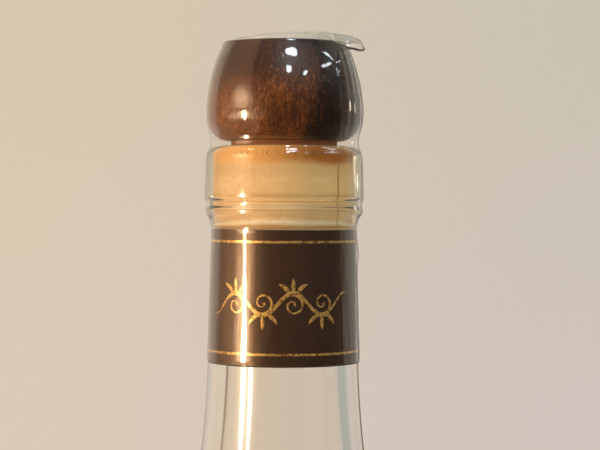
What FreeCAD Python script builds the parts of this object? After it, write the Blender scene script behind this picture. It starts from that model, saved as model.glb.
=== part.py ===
"""A sealed grappa bottle: glass, drink, cork, turned wooden knob, neck label and clear seal film.

The bottle stands on Z = 0 with its axis on Z. Every piece is turned about that axis, so each one is
a half-section, with its radius along X and its height along Z, that is swept all the way round.
"""

import FreeCAD
import Part
import Sketcher

import math
import os

# Driving dimensions in millimetres, and angles in degrees.
SIZES = {
    # glass: the outside, from the foot to the neck
    "glass_height": 308.4,
    "body_radius": 39.4,
    "body_height": 78.0,
    "heel_round": 6.0,
    "flare_arc": 215.0,
    "neck_top_radius": 14.85,
    "neck_spread": 0.8,
    "neck_margin": 0.2,
    # glass: lip, groove, bead and the collar under it
    "lip_height": 10.8,
    "lip_step": 1.1,
    "lip_spread": 0.45,
    "lip_top_round": 2.0,
    "lip_foot_round": 0.8,
    "groove_height": 1.9,
    "groove_depth": 1.0,
    "groove_slope": 0.4,
    "groove_round": 0.4,
    "bead_height": 1.1,
    "bead_inset": 0.3,
    "bead_round": 0.5,
    "collar_height": 2.4,
    "collar_round": 2.5,
    # glass: base and cavity
    "foot_ring": 6.4,
    "punt_rise": 3.0,
    "punt_round": 1.0,
    "floor_height": 9.0,
    "floor_dome": 1.5,
    "floor_round": 8.0,
    "body_wall": 3.2,
    "neck_wall": 4.25,
    "throat_height": 3.5,
    "bore_radius": 9.6,
    "bore_margin": 0.6,
    "mouth_round": 1.4,
    # drink
    "fill_drop": 75.0,
    # stopper: cork and knob
    "cork_drop": 20.4,
    "cork_spread": 1.4,
    "cork_chamfer": 0.8,
    "knob_gap": 1.1,
    "knob_height": 20.5,
    "knob_overhang": 0.13,
    "knob_foot_round": 5.0,
    "knob_draw": 3.58,
    "knob_top_round": 0.8,
    # neck label
    "label_drop": 0.85,
    "label_height": 27.25,
    "label_thickness": 0.1,
    # seal film
    "film_thickness": 0.12,
    "film_gap": 0.05,
    "film_tail": 1.0,
    "film_wrap": 25.0,
    "film_opening": 8.0,
    "brim_width": 4.1,
    "brim_height": 1.5,
    "brim_turn": 25.0,
}

# Places and radii that several pieces share, as expressions on the sheet.
RIM = "Sizes.glass_height"
LIP_RADIUS = "(Sizes.neck_top_radius + Sizes.lip_step)"
LIP_FOOT_RADIUS = f"({LIP_RADIUS} + Sizes.lip_spread)"
LIP_FOOT = f"({RIM} - Sizes.lip_height)"
BEAD_RADIUS = f"({LIP_FOOT_RADIUS} - Sizes.bead_inset)"
BEAD_TOP = f"({LIP_FOOT} - Sizes.groove_height)"
BEAD_FOOT = f"({BEAD_TOP} - Sizes.bead_height)"
NECK_TOP = f"({BEAD_FOOT} - Sizes.collar_height)"
LABEL_TOP = f"({NECK_TOP} - Sizes.label_drop)"
LABEL_FOOT = f"({LABEL_TOP} - Sizes.label_height)"
NECK_FOOT = f"({LABEL_FOOT} - Sizes.neck_margin)"
NECK_SLOPE = f"(Sizes.neck_spread / ({NECK_TOP} - {NECK_FOOT}))"
CAVITY_RADIUS = "(Sizes.body_radius - Sizes.body_wall)"
MOUTH_RADIUS = "(Sizes.bore_radius + Sizes.mouth_round)"
CORK_FOOT = f"({RIM} - Sizes.cork_drop)"
KNOB_RADIUS = f"({LIP_RADIUS} + Sizes.knob_overhang)"
KNOB_TOP_RADIUS = f"({KNOB_RADIUS} - Sizes.knob_draw)"
KNOB_FOOT = f"({RIM} + Sizes.knob_gap)"
KNOB_WIDEST = f"({KNOB_FOOT} + Sizes.knob_foot_round)"
KNOB_TOP = f"({KNOB_FOOT} + Sizes.knob_height)"


def neck_radius(height):
    """The outer radius of the straight, slightly tapered neck at a height."""
    return f"(Sizes.neck_top_radius + ({NECK_TOP} - {height}) * {NECK_SLOPE})"


def lip_radius(height):
    """The outer radius of the lip's slightly tapered side at a height."""
    return f"({LIP_RADIUS} + ({RIM} - {height}) * Sizes.lip_spread / Sizes.lip_height)"


def square_on_arc(run, rise):
    """The size of the arc that starts square to its rise and reaches a point at this run and rise."""
    return f"(({run} * {run} + {rise} * {rise}) / (2 * {rise}))"


class Outline:
    """A closed half-section, drawn edge by edge in a sketch on its body's XZ plane.

    A point is a radius and a height, both expressions that stay bound to the sheet of sizes.
    """

    def __init__(self, body, name, radius, height):
        plane = next(f for f in body.Origin.OriginFeatures if f.Role == "XZ_Plane")
        self.sketch = body.newObject("Sketcher::SketchObject", name)
        self.sketch.AttachmentSupport = [(plane, "")]
        self.sketch.MapMode = "FlatFace"
        self.start = (radius, height)
        self.here = self.point(radius, height)
        self.head = self.tail = None

    def value(self, expression):
        return float(self.sketch.evalExpression(expression))

    def point(self, radius, height):
        return FreeCAD.Vector(self.value(radius), self.value(height), 0)

    def bind(self, kind, where, expression):
        """Add a dimension that follows an expression."""
        index = self.sketch.addConstraint(Sketcher.Constraint(kind, *where, self.value(expression)))
        self.sketch.setExpression(f"Constraints[{index}]", expression)

    def pin(self, vertex, radius, height):
        """Hold a vertex at a radius and a height; a plain 0 lies on the axis or on the ground."""
        for kind, axis, expression in (("DistanceX", -2, radius), ("DistanceY", -1, height)):
            if expression == "0":
                self.sketch.addConstraint(Sketcher.Constraint("PointOnObject", *vertex, axis))
            else:
                self.bind(kind, (-1, 1, *vertex), expression)

    def add(self, edge, end, smooth=False):
        """Add an edge that runs from the last point to a new one, smoothly or at a corner."""
        index = self.sketch.addGeometry(edge)
        near = 1 if self.sketch.getPoint(index, 1).isEqual(self.here, 1e-6) else 2
        if self.tail:
            joint = "Tangent" if smooth else "Coincident"
            self.sketch.addConstraint(Sketcher.Constraint(joint, *self.tail, index, near))
        else:
            self.head = (index, near)
            self.pin(self.head, *self.start)
        self.tail = (index, 3 - near)
        self.here = end

    def line(self, radius, height, smooth=False):
        end = self.point(radius, height)
        self.add(Part.LineSegment(self.here, end), end, smooth)
        self.pin(self.tail, radius, height)

    def arc(self, radius, height, size, side):
        """Draw an arc of a given size that bulges to the left (1) or right (-1) of its way."""
        end = self.point(radius, height)
        chord = end - self.here
        deep = max(self.value(size) ** 2 - chord.Length**2 / 4, 0)
        bulge = self.value(size) - math.sqrt(deep)
        across = FreeCAD.Vector(-chord.y, chord.x, 0).normalize() * (side * bulge)
        self.add(Part.Arc(self.here, self.here + chord / 2 + across, end), end)
        self.pin(self.tail, radius, height)
        self.bind("Radius", (self.tail[0],), size)

    def flow(self, radius, height, size, slope):
        """Lead an upright side into the sloping neck with two arcs that run into each other.

        The upper arc flares, has a given size and ends along the slope. The lower one swells, and
        its own size follows: both arcs' centres lie in line with the point where they meet.
        """
        end, flare = self.point(radius, height), self.value(size)
        lean = math.atan(self.value(slope))
        flare_centre = end + FreeCAD.Vector(math.cos(lean), math.sin(lean), 0) * flare
        reach = flare_centre - self.here
        swell = (reach.dot(reach) - flare**2) / (2 * (flare - reach.x))
        swell_centre = self.here - FreeCAD.Vector(swell, 0, 0)
        meeting = swell_centre + (flare_centre - swell_centre).normalize() * swell
        for centre, arc_size, arc_end in (
            (swell_centre, swell, meeting),
            (flare_centre, flare, end),
        ):
            halfway = (self.here - centre + arc_end - centre).normalize() * arc_size
            self.add(Part.Arc(self.here, centre + halfway, arc_end), arc_end, smooth=True)
        self.pin(self.tail, radius, height)
        self.bind("Radius", (self.tail[0],), size)

    def close(self):
        start = self.point(*self.start)
        self.add(Part.LineSegment(self.here, start), start)
        self.sketch.addConstraint(Sketcher.Constraint("Coincident", *self.tail, *self.head))


def new_body(document, name):
    body = document.addObject("PartDesign::Body", name)
    body.Label = name
    return body


def turn(body, kind, name, outline):
    """Sweep a closed outline all the way round the axis, as a Revolution or a Groove."""
    feature = body.newObject(f"PartDesign::{kind}", name)
    feature.Profile = outline.sketch
    feature.ReferenceAxis = (outline.sketch, ["V_Axis"])
    feature.Angle = 360
    body.Document.recompute()


def ring_name(shape, radius, height):
    """The name of the round edge of a turned shape at a radius and a height."""
    for number, edge in enumerate(shape.Edges, 1):
        if not edge.Degenerated and isinstance(edge.Curve, Part.Circle):
            if abs(edge.Curve.Radius - radius) + abs(edge.Curve.Center.z - height) < 1e-4:
                return f"Edge{number}"
    raise ValueError(f"no ring at radius {radius} and height {height}")


def ease(body, kind, name, size, *rings):
    """Fillet or chamfer rings of the body so far, each given as a radius and a height."""
    base = body.Tip
    places = [[float(body.evalExpression(e)) for e in ring] for ring in rings]
    feature = body.newObject(f"PartDesign::{kind}", name)
    feature.Base = (base, [ring_name(base.Shape, *place) for place in places])
    feature.setExpression("Radius" if kind == "Fillet" else "Size", size)
    body.Document.recompute()


def turn_cavity(body, kind):
    """Turn the inside of the glass: domed floor, upright wall, flowing neck, throat and cork bore."""
    bore_foot = f"({CORK_FOOT} - Sizes.bore_margin)"
    throat = f"({bore_foot} - Sizes.throat_height)"
    floor_arc = square_on_arc(CAVITY_RADIUS, "Sizes.floor_dome")
    inner_flare_arc = "Sizes.flare_arc + Sizes.neck_wall"
    outline = Outline(body, "cavity_outline", "0", "Sizes.floor_height + Sizes.floor_dome")
    outline.arc(CAVITY_RADIUS, "Sizes.floor_height", floor_arc, 1)
    outline.line(CAVITY_RADIUS, "Sizes.body_height")
    outline.flow(f"{neck_radius(NECK_FOOT)} - Sizes.neck_wall", NECK_FOOT, inner_flare_arc, NECK_SLOPE)
    outline.line(f"{neck_radius(throat)} - Sizes.neck_wall", throat, smooth=True)
    outline.line("Sizes.bore_radius", bore_foot)
    outline.line("Sizes.bore_radius", f"{RIM} - Sizes.mouth_round")
    outline.arc(MOUTH_RADIUS, RIM, "Sizes.mouth_round", 1)
    outline.line("0", RIM)
    outline.close()
    turn(body, kind, "cavity", outline)
    ease(body, "Fillet", "floor_edge", "Sizes.floor_round", (CAVITY_RADIUS, "Sizes.floor_height"))


def glass_bottle(document):
    """One piece of glass: a thick base, an upright body that flows into the neck, a bead and a lip."""
    body = new_body(document, "glass_bottle")

    side = Outline(body, "side_outline", "0", "0")
    side.line("Sizes.body_radius", "0")
    side.line("Sizes.body_radius", "Sizes.body_height")
    side.flow(neck_radius(NECK_FOOT), NECK_FOOT, "Sizes.flare_arc", NECK_SLOPE)
    side.line("Sizes.neck_top_radius", NECK_TOP, smooth=True)
    side.line("0", NECK_TOP)
    side.close()
    turn(body, "Revolution", "side", side)

    groove_radius = f"({LIP_FOOT_RADIUS} - Sizes.groove_depth)"
    groove_top = f"({LIP_FOOT} - Sizes.groove_slope)"
    groove_foot = f"({BEAD_TOP} + Sizes.groove_slope)"
    finish = Outline(body, "finish_outline", "0", NECK_TOP)
    finish.line("Sizes.neck_top_radius", NECK_TOP)
    finish.line(BEAD_RADIUS, BEAD_FOOT)
    finish.line(BEAD_RADIUS, BEAD_TOP)
    finish.line(groove_radius, groove_foot)
    finish.line(groove_radius, groove_top)
    finish.line(LIP_FOOT_RADIUS, LIP_FOOT)
    finish.line(LIP_RADIUS, RIM)
    finish.line("0", RIM)
    finish.close()
    turn(body, "Revolution", "finish", finish)

    punt_radius = "(Sizes.body_radius - Sizes.heel_round - Sizes.foot_ring)"
    punt = Outline(body, "punt_outline", "0", "0")
    punt.line(punt_radius, "0")
    punt.arc("0", "Sizes.punt_rise", square_on_arc(punt_radius, "Sizes.punt_rise"), -1)
    punt.close()
    turn(body, "Groove", "punt", punt)

    turn_cavity(body, "Groove")

    ease(body, "Fillet", "heel", "Sizes.heel_round", ("Sizes.body_radius", "0"))
    ease(body, "Fillet", "punt_edge", "Sizes.punt_round", (punt_radius, "0"))
    ease(body, "Fillet", "lip_top", "Sizes.lip_top_round", (LIP_RADIUS, RIM))
    ease(body, "Fillet", "lip_foot", "Sizes.lip_foot_round", (LIP_FOOT_RADIUS, LIP_FOOT))
    groove_rings = ((groove_radius, groove_top), (groove_radius, groove_foot))
    ease(body, "Fillet", "groove_edges", "Sizes.groove_round", *groove_rings)
    bead_rings = ((BEAD_RADIUS, BEAD_TOP), (BEAD_RADIUS, BEAD_FOOT))
    ease(body, "Fillet", "bead_edges", "Sizes.bead_round", *bead_rings)
    ease(body, "Fillet", "collar", "Sizes.collar_round", ("Sizes.neck_top_radius", NECK_TOP))
    return body


def grappa(document):
    """The drink, which fills the cavity up to its level in the lower neck."""
    body = new_body(document, "grappa")
    turn_cavity(body, "Revolution")
    level = f"({RIM} - Sizes.fill_drop)"
    headspace = Outline(body, "headspace_outline", "0", level)
    headspace.line(CAVITY_RADIUS, level)
    headspace.line(CAVITY_RADIUS, RIM)
    headspace.line("0", RIM)
    headspace.close()
    turn(body, "Groove", "headspace", headspace)
    return body


def cork(document):
    """The natural cork: squeezed in the bore, spread over the mouth's round, and glued to the knob."""
    body = new_body(document, "cork")
    outline = Outline(body, "cork_outline", "0", CORK_FOOT)
    outline.line("Sizes.bore_radius", CORK_FOOT)
    outline.line("Sizes.bore_radius", f"{RIM} - Sizes.mouth_round")
    outline.arc(MOUTH_RADIUS, RIM, "Sizes.mouth_round", 1)
    outline.line("Sizes.bore_radius + Sizes.cork_spread", KNOB_FOOT)
    outline.line("0", KNOB_FOOT)
    outline.close()
    turn(body, "Revolution", "shank", outline)
    ease(body, "Chamfer", "foot_edge", "Sizes.cork_chamfer", ("Sizes.bore_radius", CORK_FOOT))
    return body


def stopper_knob(document):
    """The turned wooden knob: a round foot, its widest ring low down, and a crown that draws in."""
    body = new_body(document, "stopper_knob")
    crown_arc = square_on_arc(f"({KNOB_TOP} - {KNOB_WIDEST})", "Sizes.knob_draw")
    outline = Outline(body, "knob_outline", "0", KNOB_FOOT)
    outline.line(f"{KNOB_RADIUS} - Sizes.knob_foot_round", KNOB_FOOT)
    outline.arc(KNOB_RADIUS, KNOB_WIDEST, "Sizes.knob_foot_round", -1)
    outline.arc(KNOB_TOP_RADIUS, KNOB_TOP, crown_arc, -1)
    outline.line("0", KNOB_TOP)
    outline.close()
    turn(body, "Revolution", "turning", outline)
    ease(body, "Fillet", "top_edge", "Sizes.knob_top_round", (KNOB_TOP_RADIUS, KNOB_TOP))
    return body


def neck_label(document):
    """The paper band, wrapped flat round the straight part of the neck."""
    body = new_body(document, "neck_label")
    outline = Outline(body, "label_outline", neck_radius(LABEL_FOOT), LABEL_FOOT)
    outline.line(f"{neck_radius(LABEL_FOOT)} + Sizes.label_thickness", LABEL_FOOT)
    outline.line(f"{neck_radius(LABEL_TOP)} + Sizes.label_thickness", LABEL_TOP)
    outline.line(neck_radius(LABEL_TOP), LABEL_TOP)
    outline.close()
    turn(body, "Revolution", "band", outline)
    return body


def sleeve_outline(body, name, offset):
    """Draw the seal film's side from its tail up to the knob's top edge.

    It lies an offset out from the label, bead, lip and knob that it shrank onto, and spans what is
    drawn in between them.
    """
    tail = f"({LABEL_FOOT} - Sizes.film_tail)"
    over_label = f"Sizes.label_thickness + {offset}"
    lip_low = f"({LIP_FOOT} + Sizes.lip_foot_round)"
    lip_high = f"({RIM} - Sizes.lip_top_round)"
    lip_arc = f"(Sizes.lip_top_round + {offset})"
    foot_arc = f"(Sizes.knob_foot_round + {offset})"
    crown_top = f"({KNOB_TOP} + {offset})"
    outline = Outline(body, name, "0", tail)
    outline.line(f"{neck_radius(tail)} + {over_label}", tail)
    outline.line(f"{neck_radius(LABEL_TOP)} + {over_label}", LABEL_TOP)
    outline.line(f"{BEAD_RADIUS} + {offset}", BEAD_FOOT)
    outline.line(f"{lip_radius(lip_low)} + {offset}", lip_low)
    outline.line(f"{lip_radius(lip_high)} + {offset}", lip_high)
    outline.arc(
        f"{lip_radius(lip_high)} - Sizes.lip_top_round + {lip_arc} * cos(45)",
        f"{lip_high} + {lip_arc} * sin(45)",
        lip_arc,
        -1,
    )
    outline.line(
        f"{KNOB_RADIUS} - Sizes.knob_foot_round + {foot_arc} * cos(Sizes.film_wrap)",
        f"{KNOB_WIDEST} - {foot_arc} * sin(Sizes.film_wrap)",
    )
    outline.arc(f"{KNOB_RADIUS} + {offset}", KNOB_WIDEST, foot_arc, -1)
    crown_arc = square_on_arc(f"({crown_top} - {KNOB_WIDEST})", "Sizes.knob_draw")
    outline.arc(f"{KNOB_TOP_RADIUS} + {offset}", crown_top, crown_arc, -1)
    return outline


def seal_film(document):
    """The clear film: a sleeve cut off just below the label, open on top inside a loose lopsided brim."""
    body = new_body(document, "seal_film")
    inner, outer = "Sizes.film_gap", "(Sizes.film_gap + Sizes.film_thickness)"
    top_inner, top_outer = f"({KNOB_TOP} + {inner})", f"({KNOB_TOP} + {outer})"

    outside = sleeve_outline(body, "outside_outline", outer)
    outside.line("0", top_outer)
    outside.close()
    turn(body, "Revolution", "outside", outside)

    inside = sleeve_outline(body, "inside_outline", inner)
    inside.line("Sizes.film_opening", top_inner)
    inside.line("Sizes.film_opening", top_outer)
    inside.line("0", top_outer)
    inside.close()
    turn(body, "Groove", "inside", inside)

    brim_root = f"({KNOB_TOP_RADIUS} - Sizes.film_thickness)"
    brim_radius = f"({KNOB_TOP_RADIUS} + Sizes.brim_width)"
    brim_tip = f"({KNOB_TOP} + Sizes.brim_height)"
    brim = Outline(body, "brim_outline", brim_root, top_inner)
    brim.line(brim_radius, f"{brim_tip} - Sizes.film_thickness")
    brim.line(brim_radius, brim_tip)
    brim.line(brim_root, top_outer)
    brim.close()
    turn(body, "Revolution", "brim", brim)

    # a slanting cut leaves the brim wide on one side and narrow on the other
    above = f"({brim_tip} + Sizes.brim_height)"
    slant = Outline(body, "slant_outline", f"-{brim_radius}", top_outer)
    slant.line(brim_radius, brim_tip)
    slant.line(brim_radius, above)
    slant.line(f"-{brim_radius}", above)
    slant.close()
    slant.sketch.AttachmentOffset.Rotation.Axis = FreeCAD.Vector(0, 1, 0)
    slant.sketch.setExpression("AttachmentOffset.Rotation.Angle", "-Sizes.brim_turn")
    cut = body.newObject("PartDesign::Pocket", "slant")
    cut.Profile = slant.sketch
    cut.SideType = "Symmetric"
    cut.setExpression("Length", f"4 * {brim_radius}")
    document.recompute()
    return body


def write_parts(pieces):
    """Check every object of the document and write each piece to its own file."""
    document = pieces[0].Document
    failed = [o.Name for o in document.Objects if {"Invalid", "Error"} & set(o.State)]
    if failed:
        raise RuntimeError(f"failed objects: {failed}")
    for piece in pieces:
        shape = piece.Shape
        if shape.isNull() or not shape.isValid() or len(shape.Solids) != 1:
            raise RuntimeError(f"{piece.Label} is not one valid solid")
    os.makedirs("parts", exist_ok=True)
    for piece in pieces:
        piece.Shape.exportStep(f"parts/{piece.Label}.step")
        print(f"{piece.Label}: {piece.Shape.Volume / 1000:.2f} ml")


def main():
    document = FreeCAD.newDocument("grappa_bottle")
    sheet = document.addObject("Spreadsheet::Sheet", "Sizes")
    for row, (name, size) in enumerate(SIZES.items(), 1):
        sheet.set(f"A{row}", name)
        sheet.set(f"B{row}", str(size))
        sheet.setAlias(f"B{row}", name)
    document.recompute()
    makers = (glass_bottle, grappa, cork, stopper_knob, neck_label, seal_film)
    write_parts([make(document) for make in makers])


main()
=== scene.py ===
"""A sealed grappa bottle: glass, pale gold drink, cork, turned knob, neck label and seal film."""

import math

import bmesh
import bpy
from mathutils import Matrix, Vector, noise


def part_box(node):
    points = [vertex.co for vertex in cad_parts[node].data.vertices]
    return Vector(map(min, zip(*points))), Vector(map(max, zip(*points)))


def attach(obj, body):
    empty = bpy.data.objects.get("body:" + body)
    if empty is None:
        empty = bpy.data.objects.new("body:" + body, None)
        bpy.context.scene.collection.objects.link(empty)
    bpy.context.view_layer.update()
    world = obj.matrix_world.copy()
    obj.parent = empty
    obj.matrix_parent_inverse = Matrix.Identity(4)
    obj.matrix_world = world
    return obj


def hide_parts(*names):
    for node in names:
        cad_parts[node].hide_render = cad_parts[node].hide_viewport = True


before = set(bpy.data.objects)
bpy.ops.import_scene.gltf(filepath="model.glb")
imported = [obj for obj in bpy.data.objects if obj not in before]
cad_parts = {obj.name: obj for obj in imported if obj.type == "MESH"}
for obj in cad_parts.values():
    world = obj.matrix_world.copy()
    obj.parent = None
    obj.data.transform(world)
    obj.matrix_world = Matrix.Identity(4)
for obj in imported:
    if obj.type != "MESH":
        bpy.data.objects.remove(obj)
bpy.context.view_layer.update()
scene = bpy.context.scene
scene.view_settings.view_transform = "Standard"
scene.cycles.sample_clamp_indirect = 60  # keeps the lamp's glints on inner walls bright
MM = 0.001
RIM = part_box("glass_bottle")[1].z / MM  # the top of the glass lip

# ---------------------------------------------------------------------------
# Camera. It stands close in front of the stopper, level with the foot of the lip,
# and looks a little down and past the bottle's right side.
# ---------------------------------------------------------------------------
EYE = Vector((0, -388, RIM - 11.2)) * MM
AIM = Vector((3.4, 0, RIM - 16.2)) * MM
ROLL = math.radians(0.29)

camera = bpy.data.objects.new("camera", bpy.data.cameras.new("camera"))
camera.data.sensor_width = 36
camera.data.lens = 112
camera.data.clip_start = 0.01
camera.location = EYE
camera.rotation_mode = "QUATERNION"
turn = (AIM - EYE).to_track_quat("-Z", "Y")
camera.rotation_quaternion = turn @ Matrix.Rotation(ROLL, 3, "Z").to_quaternion()
scene.collection.objects.link(camera)
scene.camera = camera

# ---------------------------------------------------------------------------
# Helpers for shading and for making objects.
# ---------------------------------------------------------------------------
class Nodes:
    """Adds nodes to a tree and links their inputs by name."""

    def __init__(self, tree):
        self.tree = tree
        tree.nodes.clear()

    def add(self, kind, _output=0, _settings=None, **inputs):
        node = self.tree.nodes.new(kind)
        for name, setting in (_settings or {}).items():
            setattr(node, name, setting)
        for name, given in inputs.items():
            key = int(name[1:]) if name[0] == "_" else name.replace("_", " ")
            socket = node.inputs[key]
            if isinstance(given, bpy.types.NodeSocket):
                self.tree.links.new(given, socket)
            elif isinstance(given, tuple) and len(given) == 3 and socket.type == "RGBA":
                socket.default_value = (*given, 1)
            else:
                socket.default_value = given
        return node.outputs[_output]

    def maths(self, operation, *values):
        inputs = {f"_{i}": v for i, v in enumerate(values)}
        return self.add("ShaderNodeMath", _settings={"operation": operation}, **inputs)

    def vector_maths(self, operation, output, *values):
        inputs = {f"_{i}": v for i, v in enumerate(values)}
        return self.add("ShaderNodeVectorMath", output, {"operation": operation}, **inputs)

    def ramp(self, value, start, end, low=0.0, high=1.0):
        """Value mapped smoothly from start..end onto low..high, and held beyond."""
        settings = {"interpolation_type": "SMOOTHSTEP"}
        inputs = {"_0": value, "_1": start, "_2": end, "_3": low, "_4": high}
        return self.add("ShaderNodeMapRange", _settings=settings, **inputs)

    def near(self, value, middle, reach, peak=1.0):
        """Peak where value is at the middle, falling smoothly to 0 at a reach from it."""
        gap = self.maths("ABSOLUTE", self.maths("SUBTRACT", value, middle))
        return self.ramp(gap, 0.0, reach, peak, 0.0)

    def mix(self, factor, low, high, blend="MIX"):
        settings = {"data_type": "RGBA", "blend_type": blend}
        inputs = {"_0": factor, "_6": low, "_7": high}
        return self.add("ShaderNodeMix", 2, settings, **inputs)

    def axes(self, vector):
        """The x, y and z of a vector."""
        split = self.tree.nodes.new("ShaderNodeSeparateXYZ")
        self.tree.links.new(vector, split.inputs[0])
        return split.outputs

    def light_path(self):
        return self.tree.nodes.new("ShaderNodeLightPath").outputs

    def finish(self, shader, kind="Material"):
        """Leads a shader to the output of a material, a light or a world."""
        out = self.tree.nodes.new("ShaderNodeOutput" + kind)
        self.tree.links.new(shader, out.inputs[0])


def new_material(name):
    """A material and the nodes that will shade it."""
    material = bpy.data.materials.new(name)
    material.use_nodes = True
    return material, Nodes(material.node_tree)


def placed(name, bm):
    """Makes an object of the scene from a bmesh, which it frees."""
    mesh = bpy.data.meshes.new(name)
    bm.to_mesh(mesh)
    bm.free()
    piece = bpy.data.objects.new(name, mesh)
    scene.collection.objects.link(piece)
    return piece


# ---------------------------------------------------------------------------
# Room. A plain warm wall goes all round, lighter on the left. Seen through the glass it takes
# the glass's tint, and shade where the glass bends the view to one side. Polished faces mirror
# more of a room: a shaded and a lit wall on the left, a dark middle where the camera stands,
# and a dim side on the right. Each mirrored wall has a colour low down and one higher up.
# ---------------------------------------------------------------------------
WALL_LEFT, WALL_RIGHT = (0.692, 0.578, 0.428), (0.604, 0.540, 0.450)
WALL_FOOT_TINT = (1.045, 1.015, 1.11)
AMBIENT = (0.60, 0.55, 0.47)
GLASS_TINT = (1.10, 1.04, 1.02)
SHADE_LEFT, SHADE_RIGHT = (0.95, 0.78, 0.42), (0.60, 0.52, 0.26)
LIT_WALL = (0.70, 0.38, 0.22), (0.58, 0.37, 0.24)
SHADED_WALL = (0.40, 0.25, 0.15), (0.34, 0.25, 0.18)
DARK_MIDDLE = (0.030, 0.022, 0.018), (0.08, 0.08, 0.085)
DIM_NEAR, DIM_FAR, DIM_FAR_INSIDE = (0.17, 0.13, 0.09), (0.25, 0.23, 0.18), (0.42, 0.42, 0.37)


def build_room():
    """Bearings count in degrees from the camera's side, so 90 is to the right, 180 behind."""
    world = bpy.data.worlds.new("room")
    scene.world = world
    world.use_nodes = True
    room = Nodes(world.node_tree)
    to_right, to_back, to_top = room.axes(room.add("ShaderNodeTexCoord"))
    bearing = room.maths("ARCTAN2", to_right, room.maths("MULTIPLY", to_back, -1.0))
    bearing = room.maths("DEGREES", bearing)
    path = room.light_path()
    inside = room.maths("GREATER_THAN", path["Transmission Depth"], 1.5)
    outside = room.maths("LESS_THAN", path["Transmission Depth"], 0.5)

    wall = room.mix(room.ramp(to_right, -0.17, 0.17), WALL_LEFT, WALL_RIGHT)
    wall_foot = room.mix(1.0, wall, WALL_FOOT_TINT, "MULTIPLY")
    wall = room.mix(room.ramp(to_top, 0.11, -0.13), wall, wall_foot)

    # from the shaded wall on the left, past the camera, to the wall behind the bottle
    raised = room.ramp(to_top, -0.1, 0.5)
    shaded, lit = room.mix(raised, *SHADED_WALL), room.mix(raised, *LIT_WALL)
    mirrored = room.mix(room.ramp(bearing, -112.0, -78.0), shaded, lit)
    leaning = room.maths("ADD", bearing, room.maths("MULTIPLY", to_top, 15.0))
    dark_middle = room.mix(room.ramp(to_top, 0.1, 0.55), *DARK_MIDDLE)
    mirrored = room.mix(room.ramp(leaning, -48.0, -44.0), mirrored, dark_middle)
    dim_side = room.mix(inside, DIM_FAR, DIM_FAR_INSIDE)
    dim_side = room.mix(room.ramp(bearing, 100.0, 118.0), DIM_NEAR, dim_side)
    mirrored = room.mix(room.ramp(bearing, 84.0, 104.0), mirrored, dim_side)
    mirrored = room.mix(room.ramp(bearing, 134.0, 150.0), mirrored, wall)
    mirrored = room.mix(room.ramp(bearing, -112.0, -126.0), mirrored, wall)
    # dark upright things that draw the lines along the edges of the glass
    for middle, reach, depth, where in ((-118, 7, 0.5, inside), (163, 17, 0.95, outside)):
        dark = room.maths("MULTIPLY", room.near(bearing, middle, reach, depth), where)
        mirrored = room.mix(dark, mirrored, (0, 0, 0))

    through = room.mix(1.0, wall, room.mix(inside, (1, 1, 1), GLASS_TINT), "MULTIPLY")
    shade = room.mix(room.ramp(bearing, -30.0, 30.0), SHADE_LEFT, SHADE_RIGHT)
    off_side = room.maths("SUBTRACT", room.maths("ABSOLUTE", bearing), 94.0)
    off_side = room.maths("ABSOLUTE", off_side)
    through = room.mix(room.ramp(off_side, 14.0, 36.0), shade, through)

    bounced = room.maths("GREATER_THAN", path["Glossy Depth"], 0.5)
    sees_room = room.maths("MAXIMUM", path["Is Glossy Ray"], path["Is Transmission Ray"])
    seen = room.mix(sees_room, AMBIENT, room.mix(bounced, through, mirrored))
    seen = room.mix(path["Is Camera Ray"], seen, wall)
    room.finish(room.add("ShaderNodeBackground", Color=seen), "World")


build_room()

FLOOR_RADIUS = 1.0


def floor_paint():
    """Matt paint that fades out towards the floor's rim, and wherever the floor is mirrored."""
    material, tree = new_material("floor_paint")
    spot = tree.add("ShaderNodeTexCoord", "Object")
    reach = tree.vector_maths("LENGTH", "Value", spot)
    edge = tree.ramp(reach, FLOOR_RADIUS * 0.35, FLOOR_RADIUS * 0.97)
    bounced = tree.maths("GREATER_THAN", tree.light_path()["Glossy Depth"], 0.5)
    gone = tree.maths("MAXIMUM", edge, bounced)
    matt = tree.add("ShaderNodeBsdfDiffuse", Color=(0.86, 0.79, 0.69))
    clear = tree.add("ShaderNodeBsdfTransparent")
    tree.finish(tree.add("ShaderNodeMixShader", _0=gone, _1=matt, _2=clear))
    return material


bm = bmesh.new()
bmesh.ops.create_circle(bm, cap_ends=True, radius=FLOOR_RADIUS, segments=96)
floor = placed("floor", bm)
floor.data.materials.append(floor_paint())

# ---------------------------------------------------------------------------
# Lamps. The key lamp on the left draws the streak down the label and the neck, a wide soft
# shade glows round it, and windows high on the right glint in the knob. They all face the
# stopper and aren't seen themselves.
# ---------------------------------------------------------------------------
STOPPER = Vector((0, 0, RIM)) * MM
EVEN = 0.8  # the core of a lamp that glows evenly nearly to its rim
WARM, SOFT_WARM, AMBER = (1.0, 0.72, 0.45), (1.0, 0.82, 0.62), (1.0, 0.68, 0.42)
DAYLIGHT = (0.86, 0.95, 1.0)


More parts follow.
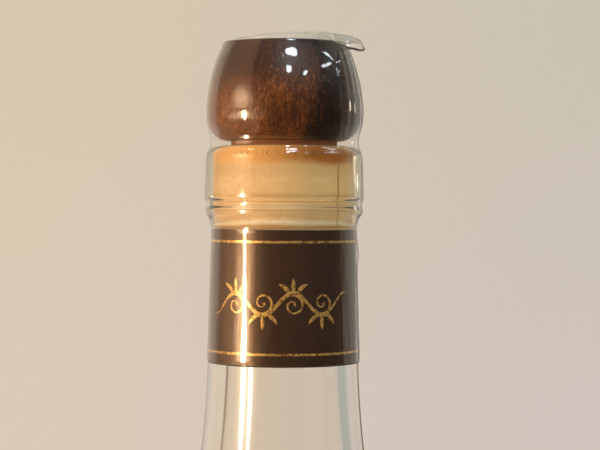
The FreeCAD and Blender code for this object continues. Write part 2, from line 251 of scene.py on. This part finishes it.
def lamp(name, bearing, elevation, distance, size, colour, radiance, core=EVEN, lean=0.0):
    """A flat lamp at a bearing from the camera's side and an elevation, with a size in metres.

    It glows evenly over its core, a share of the whole, and fades out towards its rim. One with
    a small core is an ellipse, any other is a rectangle. A lean turns it in its own plane.
    """
    b, e = math.radians(bearing), math.radians(elevation)
    back = Vector((math.sin(b) * math.cos(e), -math.cos(b) * math.cos(e), math.sin(e)))
    light = bpy.data.lights.new(name, "AREA")
    light.shape = "ELLIPSE" if core < EVEN else "RECTANGLE"
    light.size, light.size_y = size
    light.color = colour
    light.energy = radiance * math.pi * size[0] * size[1]
    light.use_nodes = True
    tree = Nodes(light.node_tree)
    place = tree.add("ShaderNodeNewGeometry", "Parametric")
    offset = tree.vector_maths("SUBTRACT", 0, place, (0.5, 0.5, 0))
    offset = tree.vector_maths("MULTIPLY", 0, offset, (1, 1, 0))
    apart = tree.vector_maths("LENGTH", "Value", offset)
    strength = tree.ramp(apart, 0.5 * core, 0.5, 1.0, 0.0)
    tree.finish(tree.add("ShaderNodeEmission", Strength=strength), "Light")
    box = bpy.data.objects.new(name, light)
    box.location = STOPPER + back * distance
    box.rotation_mode = "QUATERNION"
    upright = (-back).to_track_quat("-Z", "Y")
    box.rotation_quaternion = upright @ Matrix.Rotation(math.radians(lean), 3, "Z").to_quaternion()
    box.visible_camera = False
    scene.collection.objects.link(box)


lamp("key", -61.5, -5.0, 1.0, (0.19, 0.265), WARM, 62, core=0.25)
lamp("key_glow", -61.5, -4.2, 1.02, (0.55, 0.27), WARM, 6, core=0.0)
lamp("lampshade", -65, 12.5, 1.04, (0.85, 0.36), AMBER, 4, core=0.0)
lamp("high_left", -80, 56, 1.2, (0.24, 0.20), SOFT_WARM, 12)
lamp("window_a", 15, 46, 1.5, (0.46, 0.20), DAYLIGHT, 13, core=0.7, lean=-8)
lamp("window_b", 7, 34, 1.5, (0.16, 0.17), DAYLIGHT, 11, core=0.6)
lamp("window_c", 36, 30, 1.5, (0.26, 0.09), DAYLIGHT, 10, core=0.6, lean=10)
lamp("window_d", 89, 33.8, 1.5, (0.52, 0.06), DAYLIGHT, 9, lean=-29)
lamp("window_e", 78, 30.6, 1.5, (0.64, 0.055), DAYLIGHT, 9, lean=-5)
lamp("window_side", 126, 4.5, 1.5, (0.13, 0.17), SOFT_WARM, 6)

# ---------------------------------------------------------------------------
# Glass. Blown and pressed in one piece of clear flint glass with a trace of green: thick foot,
# shallow punt, body that flows into a long neck, collar, bead, groove and a heavy lip.
# ---------------------------------------------------------------------------
BODY_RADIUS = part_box("glass_bottle")[1].x / MM
BODY_TOP = 78.0
BODY_WALL = 3.2
NECK_WALL = 4.25
FLARE_ARC = 215.0
LABEL_FOOT, LABEL_TOP = (corner.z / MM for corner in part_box("neck_label"))
NECK_FOOT = LABEL_FOOT - 0.2
NECK_TOP = LABEL_TOP + 0.85
NECK_TOP_RADIUS = 14.85
NECK_SLOPE = 0.8 / (NECK_TOP - NECK_FOOT)
LIP_RADIUS, LIP_FOOT_RADIUS = 15.95, 16.4
LIP_FOOT = RIM - 10.8
BEAD_RADIUS = 16.1
GROOVE_RADIUS = 15.4
BORE_RADIUS = 9.6
CORK_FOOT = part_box("cork")[0].z / MM
FLOOR_HEIGHT = 9.0
FLOOR_DOME, FLOOR_ROUND = 1.5, 8.0
PUNT_RISE, FOOT_RING_RADIUS, HEEL_ROUND = 3.0, 27.0, 6.0


def neck_radius(height):
    """The outside of the glass under the label and just above it."""
    return NECK_TOP_RADIUS + (NECK_TOP - height) * NECK_SLOPE


def arc(centre, size, start, end, steps):
    """Points (radius, height) on a circle, from one angle to another in degrees."""
    angles = [math.radians(start + (end - start) * i / steps) for i in range(steps + 1)]
    return [(centre[0] + size * math.cos(a), centre[1] + size * math.sin(a)) for a in angles]


def rounded(corners, steps=6):
    """An outline through corners (radius, height, round), with each round as an arc."""
    points = []
    for i, (r, z, size) in enumerate(corners):
        here = Vector((r, z))
        if not size:
            points.append((r, z))
            continue
        back = (Vector(corners[i - 1][:2]) - here).normalized()
        on = (Vector(corners[i + 1][:2]) - here).normalized()
        half = back.angle(on) / 2
        centre = here + (back + on).normalized() * (size / math.sin(half))
        start = here + back * (size / math.tan(half)) - centre
        end = here + on * (size / math.tan(half)) - centre
        sweep = start.angle_signed(end)
        for step in range(steps + 1):
            turned_by = Matrix.Rotation(-sweep * step / steps, 2)
            points.append(tuple(centre + turned_by @ start))
    return points


def flow(start, end, flare, steps=30):
    """Two arcs that lead an upright side smoothly into the neck; the upper one has a given size."""
    start, end = Vector(start), Vector(end)
    lean = math.atan(NECK_SLOPE)
    flare_centre = end + Vector((math.cos(lean), math.sin(lean))) * flare
    across = flare_centre - start
    swell = (across.dot(across) - flare**2) / (2 * (flare - across.x))
    swell_centre = start - Vector((swell, 0))
    rise = math.degrees(math.atan2(*(flare_centre - swell_centre).yx))
    lower = arc(swell_centre, swell, 0, rise, steps)
    upper = arc(flare_centre, flare, 180 + rise, 180 + math.degrees(lean), steps)
    return lower + upper[1:]


def turned(name, outline, closed=False, segments=160):
    """Spins an outline of (radius, height) points in millimetres into a smooth closed piece."""
    bm = bmesh.new()
    ring = [bm.verts.new((r * MM, 0, z * MM)) for r, z in outline]
    pairs = list(zip(ring, ring[1:] + ring[:1])) if closed else list(zip(ring, ring[1:]))
    edges = [bm.edges.new(pair) for pair in pairs]
    spin = {"cent": (0, 0, 0), "axis": (0, 0, 1), "angle": math.tau, "steps": segments}
    bmesh.ops.spin(bm, geom=ring + edges, use_merge=True, **spin)
    bmesh.ops.remove_doubles(bm, verts=bm.verts, dist=1e-6)
    bmesh.ops.recalc_face_normals(bm, faces=bm.faces)
    piece = placed(name, bm)
    piece.data.shade_smooth()
    piece.data.set_sharp_from_angle(angle=math.radians(35))
    return piece


def clear_material(name, colour, ior, roughness=0.0, milk=0.0):
    """Clear or milky stuff like glass, which lets light straight through to what is inside it."""
    material, tree = new_material(name)
    body = tree.add(
        "ShaderNodeBsdfPrincipled",
        Base_Color=colour,
        Roughness=roughness,
        IOR=ior,
        Transmission_Weight=1.0 - milk,
    )
    path = tree.light_path()
    lit = tree.maths("MAXIMUM", path["Is Shadow Ray"], path["Is Diffuse Ray"])
    clear = tree.add("ShaderNodeBsdfTransparent")
    tree.finish(tree.add("ShaderNodeMixShader", _0=lit, _1=body, _2=clear))
    return material


def cavity():
    """The inside of the glass from the axis on the floor up to the foot of the bore."""
    radius = BODY_RADIUS - BODY_WALL
    floor_corners = [
        (0, FLOOR_HEIGHT + FLOOR_DOME, 0),
        (18, FLOOR_HEIGHT + 1.1, 0),
        (radius, FLOOR_HEIGHT, FLOOR_ROUND),
        (radius, BODY_TOP, 0),
    ]
    neck_inside = (neck_radius(NECK_FOOT) - NECK_WALL, NECK_FOOT)
    side = flow((radius, BODY_TOP), neck_inside, FLARE_ARC + NECK_WALL)
    return rounded(floor_corners, 12)[:-1] + side


bore_foot = CORK_FOOT - 0.6
throat = bore_foot - 3.5
base_corners = [
    (0, PUNT_RISE, 0),
    (14, 2.2, 0),
    (FOOT_RING_RADIUS, 0, 1.0),
    (BODY_RADIUS, 0, HEEL_ROUND),
    (BODY_RADIUS, BODY_TOP, 0),
]
finish_corners = [
    (neck_radius(NECK_FOOT + 1), NECK_FOOT + 1, 0),
    (NECK_TOP_RADIUS, NECK_TOP, 2.5),
    (BEAD_RADIUS, RIM - 13.8, 0.5),
    (BEAD_RADIUS, RIM - 12.7, 0.5),
    (GROOVE_RADIUS, RIM - 12.3, 0.4),
    (GROOVE_RADIUS, RIM - 11.2, 0.4),
    (LIP_FOOT_RADIUS, LIP_FOOT, 0.8),
    (LIP_RADIUS, RIM, 2.0),
    (BORE_RADIUS + 1.4, RIM, 0),
    (BORE_RADIUS + 0.41, RIM - 0.41, 0),
    (BORE_RADIUS, RIM - 1.4, 0),
    (BORE_RADIUS, bore_foot, 0),
    (neck_radius(throat) - NECK_WALL, throat, 0),
]
base, finish = rounded(base_corners, 12), rounded(finish_corners, 8)
side = flow((BODY_RADIUS, BODY_TOP), (neck_radius(NECK_FOOT), NECK_FOOT), FLARE_ARC)
glass = turned("glass", base[:-1] + side + finish + cavity()[::-1])
glass.data.materials.append(clear_material("flint_glass", (0.985, 1.0, 0.955), 1.52))
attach(glass, "root")
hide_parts("glass_bottle")

# ---------------------------------------------------------------------------
# Drink. Pale gold grappa up to the lower neck. It reaches just into the wall all round,
# and its surface climbs the glass in a small meniscus.
# ---------------------------------------------------------------------------
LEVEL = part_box("grappa")[1].z / MM
WETTING = 0.15
MENISCUS_RISE, MENISCUS_REACH = 1.3, 1.1


def wetted(point):
    """A point of the cavity's outline, moved just into the glass."""
    r, z = point
    if r > 20 and z < BODY_TOP:
        return (r + WETTING, z)
    return (r + WETTING if r > 0.1 else r, z - (WETTING if z < 12 else 0))


wall_points = [wetted(p) for p in cavity()]
below = [p for p in wall_points if p[1] < LEVEL - 3]
above = wall_points[len(below)]
share = (LEVEL - below[-1][1]) / (above[1] - below[-1][1])
contact = below[-1][0] + (above[0] - below[-1][0]) * share
surface = [
    (contact - inwards, LEVEL - MENISCUS_RISE * (1 - math.exp(-inwards / MENISCUS_REACH)))
    for inwards in (0, 0.15, 0.4, 0.8, 1.3, 2.0, 3.0, 4.5)
]
drink = turned("drink", below + surface + [(0, LEVEL - MENISCUS_RISE)])
drink.data.materials.append(clear_material("pale_grappa", (0.96, 0.83, 0.50), 1.36))
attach(drink, "root")
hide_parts("grappa")

# ---------------------------------------------------------------------------
# Cork. A natural cork, squeezed smooth in the bore, with specks, a stained ring near the mouth and
# one thin amber line down it; its head carries the knob and is darkened as painted shade. Waved
# bands lie across it: the lower ones are painted light and shade for the lip's foot, groove and
# bead.
# ---------------------------------------------------------------------------
SQUEEZE = 0.1
cork_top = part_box("cork")[1].z / MM
cork_corners = [
    (0, CORK_FOOT, 0),
    (BORE_RADIUS + SQUEEZE, CORK_FOOT, 0.8),
    (BORE_RADIUS + SQUEEZE, RIM - 1.4, 0),
    (BORE_RADIUS + 1.35, RIM, 0),
    (BORE_RADIUS + 1.4, cork_top, 0),
    (0, cork_top, 0),
]
cork = turned("cork_shank", rounded(cork_corners))

CORK_LEFT, CORK_RIGHT, CORK_PALE = (0.76, 0.475, 0.225), (0.76, 0.53, 0.22), (0.90, 0.66, 0.38)
CORK_GRAIN, CORK_SPECK, CORK_HEAD_IN_PAINTED_SHADE = (0.60, 0.33, 0.12), (0.08, 0.026, 0.006), (0.20, 0.064, 0.010)
STAIN_LEFT, STAIN_RIGHT = (0.80, 0.42, 0.12), (0.37, 0.125, 0.003)
# each band: how far below the rim it lies, its reach, its strength and its tone. The bands from
# 10.6 mm down are painted light and shade, for the bright and dark lines of the lip's foot,
# groove and bead.
CORK_BANDS_AND_PAINTED_LIGHT = (
    (5.2, 1.8, 0.30, (0.50, 0.28, 0.11)),
    (10.6, 1.1, 0.75, (0.48, 0.26, 0.09)),
    (13.0, 1.2, 0.35, (0.50, 0.28, 0.11)),
    (14.6, 1.2, 0.75, (1.00, 0.86, 0.60)),
    (16.2, 0.9, 0.65, (0.48, 0.24, 0.08)),
)


def natural_cork():
    material, tree = new_material("natural_cork")
    spot = tree.add("ShaderNodeTexCoord", "Object")
    side, back, height = tree.axes(spot)
    turned_to = tree.maths("ARCTAN2", side, tree.maths("MULTIPLY", back, -1.0))

    def between(start, end, low=0.0, high=1.0):
        """A ramp over heights given in millimetres from the rim."""
        return tree.ramp(height, (RIM + start) * MM, (RIM + end) * MM, low, high)

    along = tree.add("ShaderNodeMapping", Vector=spot, Scale=(1.0, 1.0, 2.2))
    clouds = tree.add("ShaderNodeTexNoise", Vector=along, Scale=110.0, Detail=3.0, Roughness=0.5)
    grains = tree.add("ShaderNodeTexNoise", Vector=spot, Scale=1400.0, Detail=3.0, Roughness=0.6)
    skin = tree.mix(tree.ramp(side, -6 * MM, 8 * MM), CORK_LEFT, CORK_RIGHT)
    skin = tree.mix(tree.ramp(clouds, 0.40, 0.68, 0.0, 0.35), skin, CORK_PALE)
    waved = tree.maths("ADD", height, tree.ramp(clouds, 0.3, 0.7, -0.2 * MM, 0.2 * MM))
    # waved bands; the lower ones are painted light and shade
    for down, reach, amount, tone in CORK_BANDS_AND_PAINTED_LIGHT:
        skin = tree.mix(tree.near(waved, (RIM - down) * MM, reach * MM, amount), skin, tone)
    skin = tree.mix(tree.ramp(grains, 0.30, 0.62, 0.35, 0.0), skin, CORK_GRAIN)

    ragged = tree.maths("ADD", height, tree.ramp(clouds, 0.3, 0.7, -0.5 * MM, 0.5 * MM))
    ring = tree.ramp(ragged, (RIM - 5.0) * MM, (RIM - 2.5) * MM)
    ring = tree.maths("MULTIPLY", ring, between(-2.0, -0.9, 1.0, 0.55))
    # a thin amber line painted down one side, for the edge of the film's weld seen over the glass
    amber_line = tree.maths("MULTIPLY", between(-18, -9, 0.1, 0.9), tree.near(turned_to, 1.14, 0.05))
    stain = tree.mix(tree.ramp(side, -9 * MM, 8 * MM), STAIN_LEFT, STAIN_RIGHT)
    skin = tree.mix(tree.maths("MAXIMUM", ring, amber_line), skin, stain)

    around = tree.maths("MULTIPLY", turned_to, BORE_RADIUS * MM)
    unrolled = tree.add("ShaderNodeCombineXYZ", X=around, Y=height)
    flat = {"voronoi_dimensions": "2D"}
    pores = tree.add("ShaderNodeTexVoronoi", _settings=flat, Vector=unrolled, Scale=1500.0)
    specked = tree.near(height, (RIM - 1.8) * MM, 0.5 * MM)
    specks = tree.maths("MULTIPLY", tree.ramp(pores, 0.24, 0.10), specked)
    skin = tree.mix(specks, skin, CORK_SPECK)
    # painted shade: the cork's head above the rim, under the knob, is darker
    skin = tree.mix(between(-0.5, 0.1), skin, CORK_HEAD_IN_PAINTED_SHADE)
    tree.finish(tree.add("ShaderNodeBsdfPrincipled", Base_Color=skin, Roughness=0.75))
    return material


cork.data.materials.append(natural_cork())
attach(cork, "root")
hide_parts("cork")

# ---------------------------------------------------------------------------
# Knob. Hardwood turned on a lathe with its grain upright, stained red-brown and lacquered; open
# pores show in the lacquer. Painted shade makes it darker towards the right and the top.
# ---------------------------------------------------------------------------
knob_low, knob_high = (corner.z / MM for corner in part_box("stopper_knob"))
KNOB_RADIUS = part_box("stopper_knob")[1].x / MM
KNOB_FOOT_ROUND, KNOB_TOP_ROUND = 5.0, 0.75
KNOB_DRAW = 3.58  # how much narrower the knob is at its top than at its widest
knob_widest = knob_low + KNOB_FOOT_ROUND
crown_rise = knob_high - knob_widest
crown_arc = (crown_rise**2 + KNOB_DRAW**2) / (2 * KNOB_DRAW)
crown_turn = math.degrees(math.asin(crown_rise / crown_arc))
foot = arc((KNOB_RADIUS - KNOB_FOOT_ROUND, knob_widest), KNOB_FOOT_ROUND, -90, 0, 14)
crown = arc((KNOB_RADIUS - crown_arc, knob_widest), crown_arc, 0, crown_turn - 1.2, 24)
top_edge = (KNOB_RADIUS - KNOB_DRAW, knob_high, KNOB_TOP_ROUND)
shoulder = rounded([(*crown[-1], 0), top_edge, (0, knob_high, 0)], 8)
knob = turned("knob", [(0, knob_low), *foot, *crown[1:], *shoulder[1:]])

# the red stain, and that stain painted in shade for the knob's right side and top
STAIN_RED, STAIN_IN_PAINTED_SHADE = (0.17, 0.048, 0.004), (0.017, 0.0065, 0.003)
WOOD_FLECK, WOOD_PORE = (0.33, 0.095, 0.010), (0.010, 0.004, 0.002)


def lacquered_wood():
    material, tree = new_material("lacquered_dark_wood")
    spot = tree.add("ShaderNodeTexCoord", "Object")
    along = tree.add("ShaderNodeMapping", Vector=spot, Scale=(1.0, 1.0, 0.30))
    grain = tree.add("ShaderNodeTexNoise", Vector=along, Scale=2100.0, Detail=4.0, Roughness=0.65)
    cloud = tree.add("ShaderNodeTexNoise", Vector=along, Scale=150.0, Detail=3.0)
    pores = tree.add("ShaderNodeTexNoise", Vector=along, Scale=3600.0, Detail=2.0)
    side, _, height = tree.axes(spot)
    side = tree.maths("ADD", side, tree.ramp(cloud, 0.3, 0.7, 4 * MM, -4 * MM))
    # painted shade: the stain darkens towards the right and the top
    upper = tree.ramp(height, (RIM + 8) * MM, (RIM + 17) * MM, 0.0, 0.8)
    painted_shade = tree.maths("MAXIMUM", tree.ramp(side, -5 * MM, 7 * MM), upper)
    stain = tree.mix(painted_shade, STAIN_RED, STAIN_IN_PAINTED_SHADE)
    flecks = tree.maths("MULTIPLY", tree.ramp(grain, 0.46, 0.66), tree.ramp(cloud, 0.36, 0.60))
    lower = tree.ramp(height, (RIM + 21) * MM, (RIM + 11) * MM, 0.25, 1.0)
    flecks = tree.maths("MULTIPLY", flecks, lower)
    flecks = tree.maths("MULTIPLY", flecks, tree.ramp(painted_shade, 0.0, 1.0, 1.0, 0.25))
    wood = tree.mix(flecks, stain, WOOD_FLECK)
    wood = tree.mix(tree.ramp(pores, 0.42, 0.56, 0.55, 0.0), wood, WOOD_PORE)
    rough = tree.maths("ADD", grain, pores)
    relief = tree.add("ShaderNodeBump", Strength=0.75, Distance=0.12 * MM, Height=rough)
    body = tree.add(
        "ShaderNodeBsdfPrincipled",
        Base_Color=wood,
        Roughness=0.5,
        Specular_IOR_Level=0.05,
        Normal=relief,
        Coat_Weight=tree.ramp(pores, 0.38, 0.52, 0.45, 1.0),
        Coat_Roughness=0.22,
        Coat_Normal=relief,
    )
    tree.finish(body)
    return material


knob.data.materials.append(lacquered_wood())
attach(knob, "root")
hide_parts("stopper_knob")

# ---------------------------------------------------------------------------
# Neck label. A dark brown paper band with a satin face, wrapped flat round the neck, with
# two thin gold lines and a running vine stamped on it in gold foil.
# ---------------------------------------------------------------------------
LABEL_THICKNESS = 0.1
GLUE = 0.01
FOIL = 0.02
LINE_HEIGHT = 0.5


def label_face(height):
    """The radius of the paper's outer face."""
    return neck_radius(height) + LABEL_THICKNESS


label_section = [
    (neck_radius(LABEL_FOOT) + GLUE, LABEL_FOOT),
    (label_face(LABEL_FOOT), LABEL_FOOT),
    (label_face(LABEL_TOP), LABEL_TOP),
    (neck_radius(LABEL_TOP) + GLUE, LABEL_TOP),
]
label = turned("label_band", label_section, closed=True)


def satin_paper():
    material, tree = new_material("dark_satin_paper")
    spot = tree.add("ShaderNodeTexCoord", "Object")
    fibres = tree.add("ShaderNodeTexNoise", Vector=spot, Scale=2600.0, Detail=2.0)
    body = tree.add(
        "ShaderNodeBsdfPrincipled",
        Base_Color=tree.mix(fibres, (0.022, 0.008, 0.005), (0.038, 0.014, 0.009)),
        Roughness=0.40,
        Specular_IOR_Level=0.8,
        Specular_Tint=(1.0, 0.74, 0.48),
        Normal=tree.add("ShaderNodeBump", Strength=0.25, Distance=0.04 * MM, Height=fibres),
    )
    tree.finish(body)
    return material


label.data.materials.append(satin_paper())
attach(label, "root")
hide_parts("neck_label")


def gold_foil():
    material, tree = new_material("gold_foil")
    spot = tree.add("ShaderNodeTexCoord", "Object")
    worn = tree.add("ShaderNodeTexNoise", Vector=spot, Scale=1500.0, Detail=3.0, Roughness=0.7)
    gold = tree.mix(tree.ramp(worn, 0.36, 0.56), (0.22, 0.11, 0.025), (0.80, 0.50, 0.15))
    body = tree.add("ShaderNodeBsdfPrincipled", Base_Color=gold, Metallic=0.65, Roughness=0.34)
    tree.finish(body)
    return material


foil = gold_foil()
for name, height in (("gold_line_upper", LABEL_TOP - 2.4), ("gold_line_lower", LABEL_FOOT + 2.3)):
    low, high = height - LINE_HEIGHT / 2, height + LINE_HEIGHT / 2
    section = [
        (label_face(low) - GLUE, low),
        (label_face(low) + FOIL, low + FOIL),
        (label_face(high) + FOIL, high - FOIL),
        (label_face(high) - GLUE, high),
    ]
    line = turned(name, section, closed=True)
    line.data.materials.append(foil)
    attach(line, "root")

# The ornament is a running vine: a wave with a curl in every bend and leaves on its back. Each
# stroke is a list of points: place across, place up from the vine's middle line, and width.
VINE_BEARING, VINE_HEIGHT = -4.0, LABEL_FOOT + 12.4
VINE_HALF = 15.6
BEND = 6.2
SWING = 2.3
PEN = 0.5
CURL_STEPS, CURL_TURN = 14, 500


def vine(across):
    """How far the stem swings up or down at a place across."""
    return SWING * math.sin(math.pi * across / BEND)


def curl(centre, start, size, side):
    """A tendril that leaves the vine and winds into a bend, ending in a bud."""
    points = []
    for i in range(CURL_STEPS + 1):
        t = i / CURL_STEPS
        a, radius = math.radians(start + side * CURL_TURN * t), size * (1 - t) ** 0.8 + 0.22
        across, up = centre[0] + radius * math.cos(a), centre[1] + radius * math.sin(a)
        points.append((across, up, 0.55 - 0.3 * t if i < CURL_STEPS else 0.75))
    return points


def leaf(foot, aim, length, bow):
    """A slim leaf from its foot towards an angle, bowed to one side."""
    a = math.radians(aim)
    along, off = Vector((math.cos(a), math.sin(a))), Vector((-math.sin(a), math.cos(a)))
    outline = ((0, 0, 0.4), (0.35, 0.8, 0.85), (0.7, 0.7, 0.7), (1, 0, 0.1))
    return [(*(Vector(foot) + along * length * t + off * bow * lift), w) for t, lift, w in outline]


places = [VINE_HALF * i / 20 for i in range(-20, 21)]
strokes = [[(x, vine(x), 0.3 + 0.45 * (1 - (x / VINE_HALF) ** 2)) for x in places]]
for i in range(-2, 2):
    middle, side = BEND * (i + 0.5), 1 if i % 2 else -1
    strokes.append(curl((middle, side * 0.25), 180 + side * 40, 2.1, side))
    for spread in (-1, 0, 1):
        across = middle + spread * 0.8
        strokes.append(leaf((across, vine(across)), side * (spread * 48 - 90), 2.9, spread * 0.35))


def stamped(name, strokes):
    """Draws flat pen strokes as curves, joins their meshes and wraps them round the label."""
    bm = bmesh.new()
    for points in strokes:
        pen = bpy.data.curves.new(name, "CURVE")
        pen.dimensions = "3D"
        pen.bevel_depth = PEN
        pen.bevel_resolution = 2
        pen.use_fill_caps = True
        spline = pen.splines.new("BEZIER")
        spline.resolution_u = 10
        spline.bezier_points.add(len(points) - 1)
        for knot, (across, up, width) in zip(spline.bezier_points, points):
            knot.co = (across, up, 0)
            knot.radius = width
            knot.handle_left_type = knot.handle_right_type = "AUTO"
        holder = bpy.data.objects.new(name, pen)
        mesh = bpy.data.meshes.new_from_object(holder)
        bm.from_mesh(mesh)
        bpy.data.objects.remove(holder)
        bpy.data.meshes.remove(mesh)
        bpy.data.curves.remove(pen)
    for vert in bm.verts:
        across, up, out = vert.co
        height = VINE_HEIGHT + up
        turned_by = math.radians(VINE_BEARING) + across / label_face(height)
        radius = label_face(height) + out * FOIL / PEN
        vert.co = Vector((radius * math.sin(turned_by), -radius * math.cos(turned_by), height)) * MM
    bmesh.ops.recalc_face_normals(bm, faces=bm.faces)
    piece = placed(name, bm)
    piece.data.shade_smooth()
    return piece


ornament = stamped("gold_vine", strokes)
ornament.data.materials.append(foil)
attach(ornament, "root")

# ---------------------------------------------------------------------------
# Seal film. A clear shrink sleeve drawn down over knob, lip and label. A weld runs down it on
# the right, and past the weld it is slack. Its upper end is open, and the milky brim round it
# lies over the knob's top except on the right, where it stands out and curls over.
# ---------------------------------------------------------------------------
FILM_THICKNESS = 0.07
FILM_OFFSET = 0.2
FILM_TAIL = 0.25
FILM_SEGMENTS = 320
LIP_SPREAD = (LIP_FOOT_RADIUS - LIP_RADIUS) / (RIM - LIP_FOOT)
BRIM_LENGTH = 4.4
BRIM_STEPS = 16
BRIM_RISE = 1.42
# how far right of the middle the weld runs at first, and its drift for each millimetre down
WELD_SIDE, WELD_DRIFT = 10.9, 0.033
WELD_RIDGE = 0.10
SLACK = 0.10
BULGE_BEARING, BULGE_HEIGHT, BULGE = 92, LABEL_TOP - 5.35, 0.35


def spaced(start, end, step):
    """Points from start up to end, a step apart, without the last one."""
    count = max(1, round(math.dist(start, end) / step))
    return [tuple(Vector(start).lerp(end, i / count)) for i in range(count)]


def over_lip(height):
    """The film's radius along the lip's side."""
    return LIP_RADIUS + (RIM - height) * LIP_SPREAD + FILM_OFFSET - 0.05


film_tail = (neck_radius(LABEL_FOOT) + 0.12, LABEL_FOOT - FILM_TAIL)
film_foot = (label_face(LABEL_FOOT) + FILM_OFFSET - 0.1, LABEL_FOOT + 0.1)
film_on_label = (label_face(LABEL_TOP) + FILM_OFFSET - 0.1, LABEL_TOP)
# the film's line from the label over bead, groove and lip to the knob, as (radius, height)
span = [
    film_on_label,
    (15.3, LABEL_TOP + 1.4),
    (15.75, LABEL_TOP + 2.5),
    (BEAD_RADIUS + 0.12, RIM - 13.8),
    (BEAD_RADIUS + 0.17, RIM - 12.9),
    (BEAD_RADIUS + 0.05, RIM - 11.9),
    (LIP_FOOT_RADIUS + 0.02, RIM - 10.9),
    (over_lip(LIP_FOOT + 0.9), LIP_FOOT + 0.9),
    (over_lip(RIM - 6), RIM - 6),
    (over_lip(RIM - 2), RIM - 2),
    (15.78, RIM - 0.9),
    (15.47, RIM + 0.1),
    (15.36, RIM + 1.1),
    (15.45, RIM + 2.2),
    (15.80, RIM + 3.6),
    (16.15, RIM + 4.9),
]


def smooth_through(points, step):
    """A smooth line through points, sampled about a step apart."""
    line = []
    ends = [points[0], *points, points[-1]]
    for a, b, c, d in zip(ends, ends[1:], ends[2:], ends[3:]):
        a, b, c, d = map(Vector, (a, b, c, d))
        slope, swing, twist = c - a, 2 * a - 5 * b + 4 * c - d, 3 * b - a - 3 * c + d
        count = max(1, round((c - b).length / step))
        for t in (i / count for i in range(count)):
            line.append(tuple(0.5 * (2 * b + slope * t + swing * t**2 + twist * t**3)))
    return line


on_label = spaced(film_foot, film_on_label, 0.9)
on_neck = smooth_through(span, 0.35)
crown_centre = (KNOB_RADIUS - crown_arc, knob_widest)
on_knob = arc(crown_centre, crown_arc + 0.17, 1.5, crown_turn - 0.4, 34)
brim_root = on_knob[-1]
rises = [BRIM_LENGTH * i / BRIM_STEPS for i in range(1, BRIM_STEPS + 1)]
brim = [(brim_root[0], brim_root[1] + rise) for rise in rises]
film_line = [film_tail, *on_label, *on_neck, *on_knob, *brim]
film = turned("seal_sleeve", film_line, segments=FILM_SEGMENTS)

# the brim all the way round: bearing, then radius and rise over the knob's top, first of the
# bend and then of the cut edge
BRIM = [
    (-180, 12.6, 0.5, 9, 0.35),
    (-100, 12.6, 0.5, 9.2, 0.4),
    (-45, 12.5, 0.7, 10, 0.6),
    (-12, 12.6, 1, 10.4, 1.2),
    (22, 12.8, 1.5, 11.4, 1.4),
    (36, 13.4, 2, 13.2, 1.3),
    (44, 14.6, 2.8, 15.4, -1.1),
    (54, 15.7, 2.9, 16.6, -2.1),
    (68, 15.9, 2.5, 16.9, -2.2),
    (84, 15.6, 2.2, 16.7, -1.4),
    (104, 13.8, 1.9, 15.2, 0.3),
    (130, 12.9, 0.9, 11.6, 0.8),
    (180, 12.6, 0.5, 9, 0.35),
]


def brim_at(bearing):
    """Where the brim bends over and where it ends, as two points (radius, height)."""
    for (start, *low), (end, *high) in zip(BRIM, BRIM[1:]):
        if start <= bearing <= end:
            t = step_up(bearing, start, end)
            bend_r, bend_z, edge_r, edge_z = (a + (b - a) * t for a, b in zip(low, high))
            return Vector((bend_r, knob_high + bend_z)), Vector((edge_r, knob_high + edge_z))


def hump(value, middle, width):
    """1 at the middle, fading to 0 on both sides."""
    return math.exp(-(((value - middle) / width) ** 2))


def step_up(value, start, end):
    """0 up to the start, rising smoothly to 1 at the end."""
    t = min(max((value - start) / (end - start), 0), 1)
    return t * t * (3 - 2 * t)


def slack(bearing, radius, height):
    """How far the film stands out from its tight line at a place on it, in millimetres."""
    weld = math.degrees(math.asin((WELD_SIDE + max(RIM - 8 - height, 0) * WELD_DRIFT) / radius))
    past = bearing - weld
    loose = step_up(past, -0.6, 0.6) * (1 - step_up(past, 60, 85))
    x, y = math.sin(math.radians(bearing)), math.cos(math.radians(bearing))
    folds = noise.noise(Vector((x * 9, y * 9, height / 20)))
    fine = noise.noise(Vector((x * 19, y * 19, height / 5)))
    amount = SLACK + SLACK * step_up(height, RIM - 1, RIM + 5)
    lift = loose * (amount + amount * 0.8 * folds + 0.05 * fine)
    lift += WELD_RIDGE * hump(past, 0, 0.8)
    lift += 0.02 * folds + 0.010 * fine
    lift += BULGE * hump(height, BULGE_HEIGHT, 2.2) * hump(bearing, BULGE_BEARING, 16)
    return max(lift, -0.03)


for vert in film.data.vertices:
    x, y, z = vert.co / MM
    bearing, radius = math.degrees(math.atan2(x, -y)), math.hypot(x, y)
    if z > brim_root[1] + 0.01:
        t = (z - brim_root[1]) / BRIM_LENGTH
        root = Vector((brim_root[0] + slack(bearing, *brim_root), brim_root[1]))
        bend, edge = brim_at(bearing)
        radius, z = root * (1 - t) ** 2 + bend * 2 * t * (1 - t) + edge * t**2
        flutter = noise.noise(Vector((bearing / 14, t * 2, 3)))
        radius += 0.25 * t * flutter
        z = min(z + 0.15 * t * flutter, knob_high + BRIM_RISE)
    else:
        radius += slack(bearing, radius, z)
    b = math.radians(bearing)
    vert.co = Vector((radius * math.sin(b), -radius * math.cos(b), z)) * MM

wall = film.modifiers.new("wall", "SOLIDIFY")
wall.thickness = FILM_THICKNESS * MM
wall.offset = -1
clear_film = clear_material("clear_shrink_film", (0.99, 0.99, 0.985), 1.48, 0.03)
hazy_film = clear_material("hazy_shrink_film", (0.71, 0.725, 0.69), 1.48, 0.05, milk=0.32)
film.data.materials.append(clear_film)
film.data.materials.append(hazy_film)
for face in film.data.polygons:  # the brim is hazy, the rest is clear
    x, y, z = face.center / MM
    face.material_index = int(z > knob_high - 0.1 and math.hypot(x, y) > 8)
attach(film, "root")
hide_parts("seal_film")
